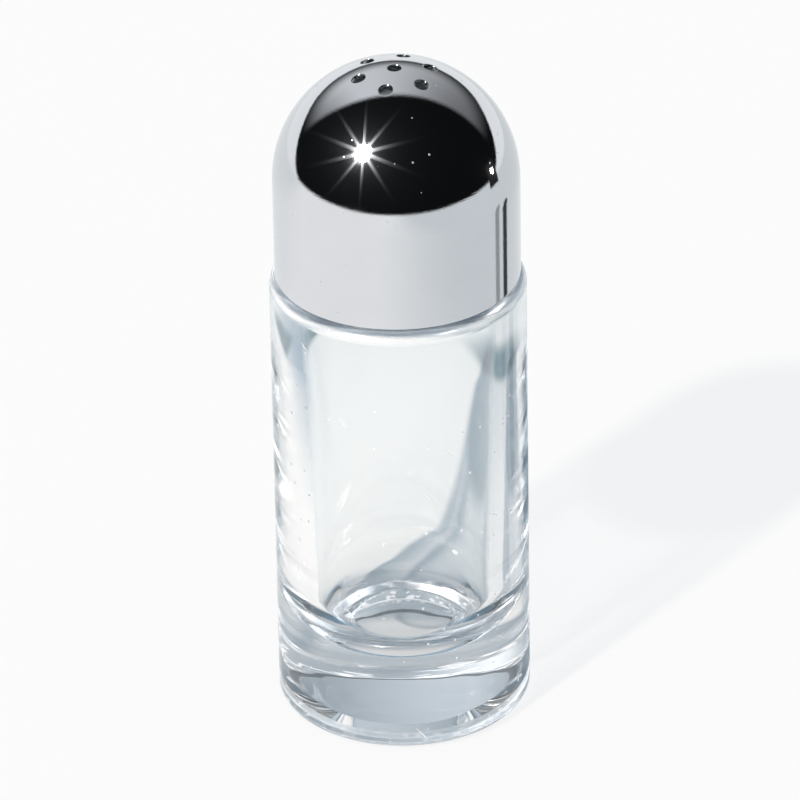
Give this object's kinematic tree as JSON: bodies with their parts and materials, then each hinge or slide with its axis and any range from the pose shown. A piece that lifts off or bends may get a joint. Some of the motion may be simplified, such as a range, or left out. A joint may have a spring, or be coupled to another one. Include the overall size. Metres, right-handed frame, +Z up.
{
  "type": "table shaker",
  "caption": "Clear glass table shaker with a heavy base and a screw-on polished steel dome cap pierced with pour holes.",
  "frame": {"origin": "centre of the jar's bearing ring on the table", "axes": "+Z up along the jar's axis; +X to the right and +Y away from someone facing it, with a pour hole 16 degrees from +X"},
  "size_m": [0.034, 0.034, 0.0943],
  "materials": {
    "jar_glass": "clear, fire-polished",
    "cap_steel": "mirror-polished stainless steel",
    "liner_plastic": "moulded polypropylene, satin",
    "seal_silicone": "soft, matt"
  },
  "bodies": {
    "jar": {"glass_jar": "jar_glass"},
    "seal": {"sealing_ring": "seal_silicone"},
    "cap": {"dome_cap": "cap_steel", "threaded_liner": "liner_plastic"}
  },
  "joints": [
    {"name": "cap_lift", "type": "slide", "parent": "jar", "child": "seal", "axis": [0, 0, 1], "range_m": [0, 0.01681]},
    {"name": "cap_turn", "type": "hinge", "parent": "seal", "child": "cap", "pos_m": [0, 0, 0.0746], "axis": [0, 0, 1], "range_deg": [0, 1440]}
  ],
  "couplings": [
    {"joint": "cap_lift", "follows": "cap_turn", "m_per_rad": 0.00066845}
  ]
}
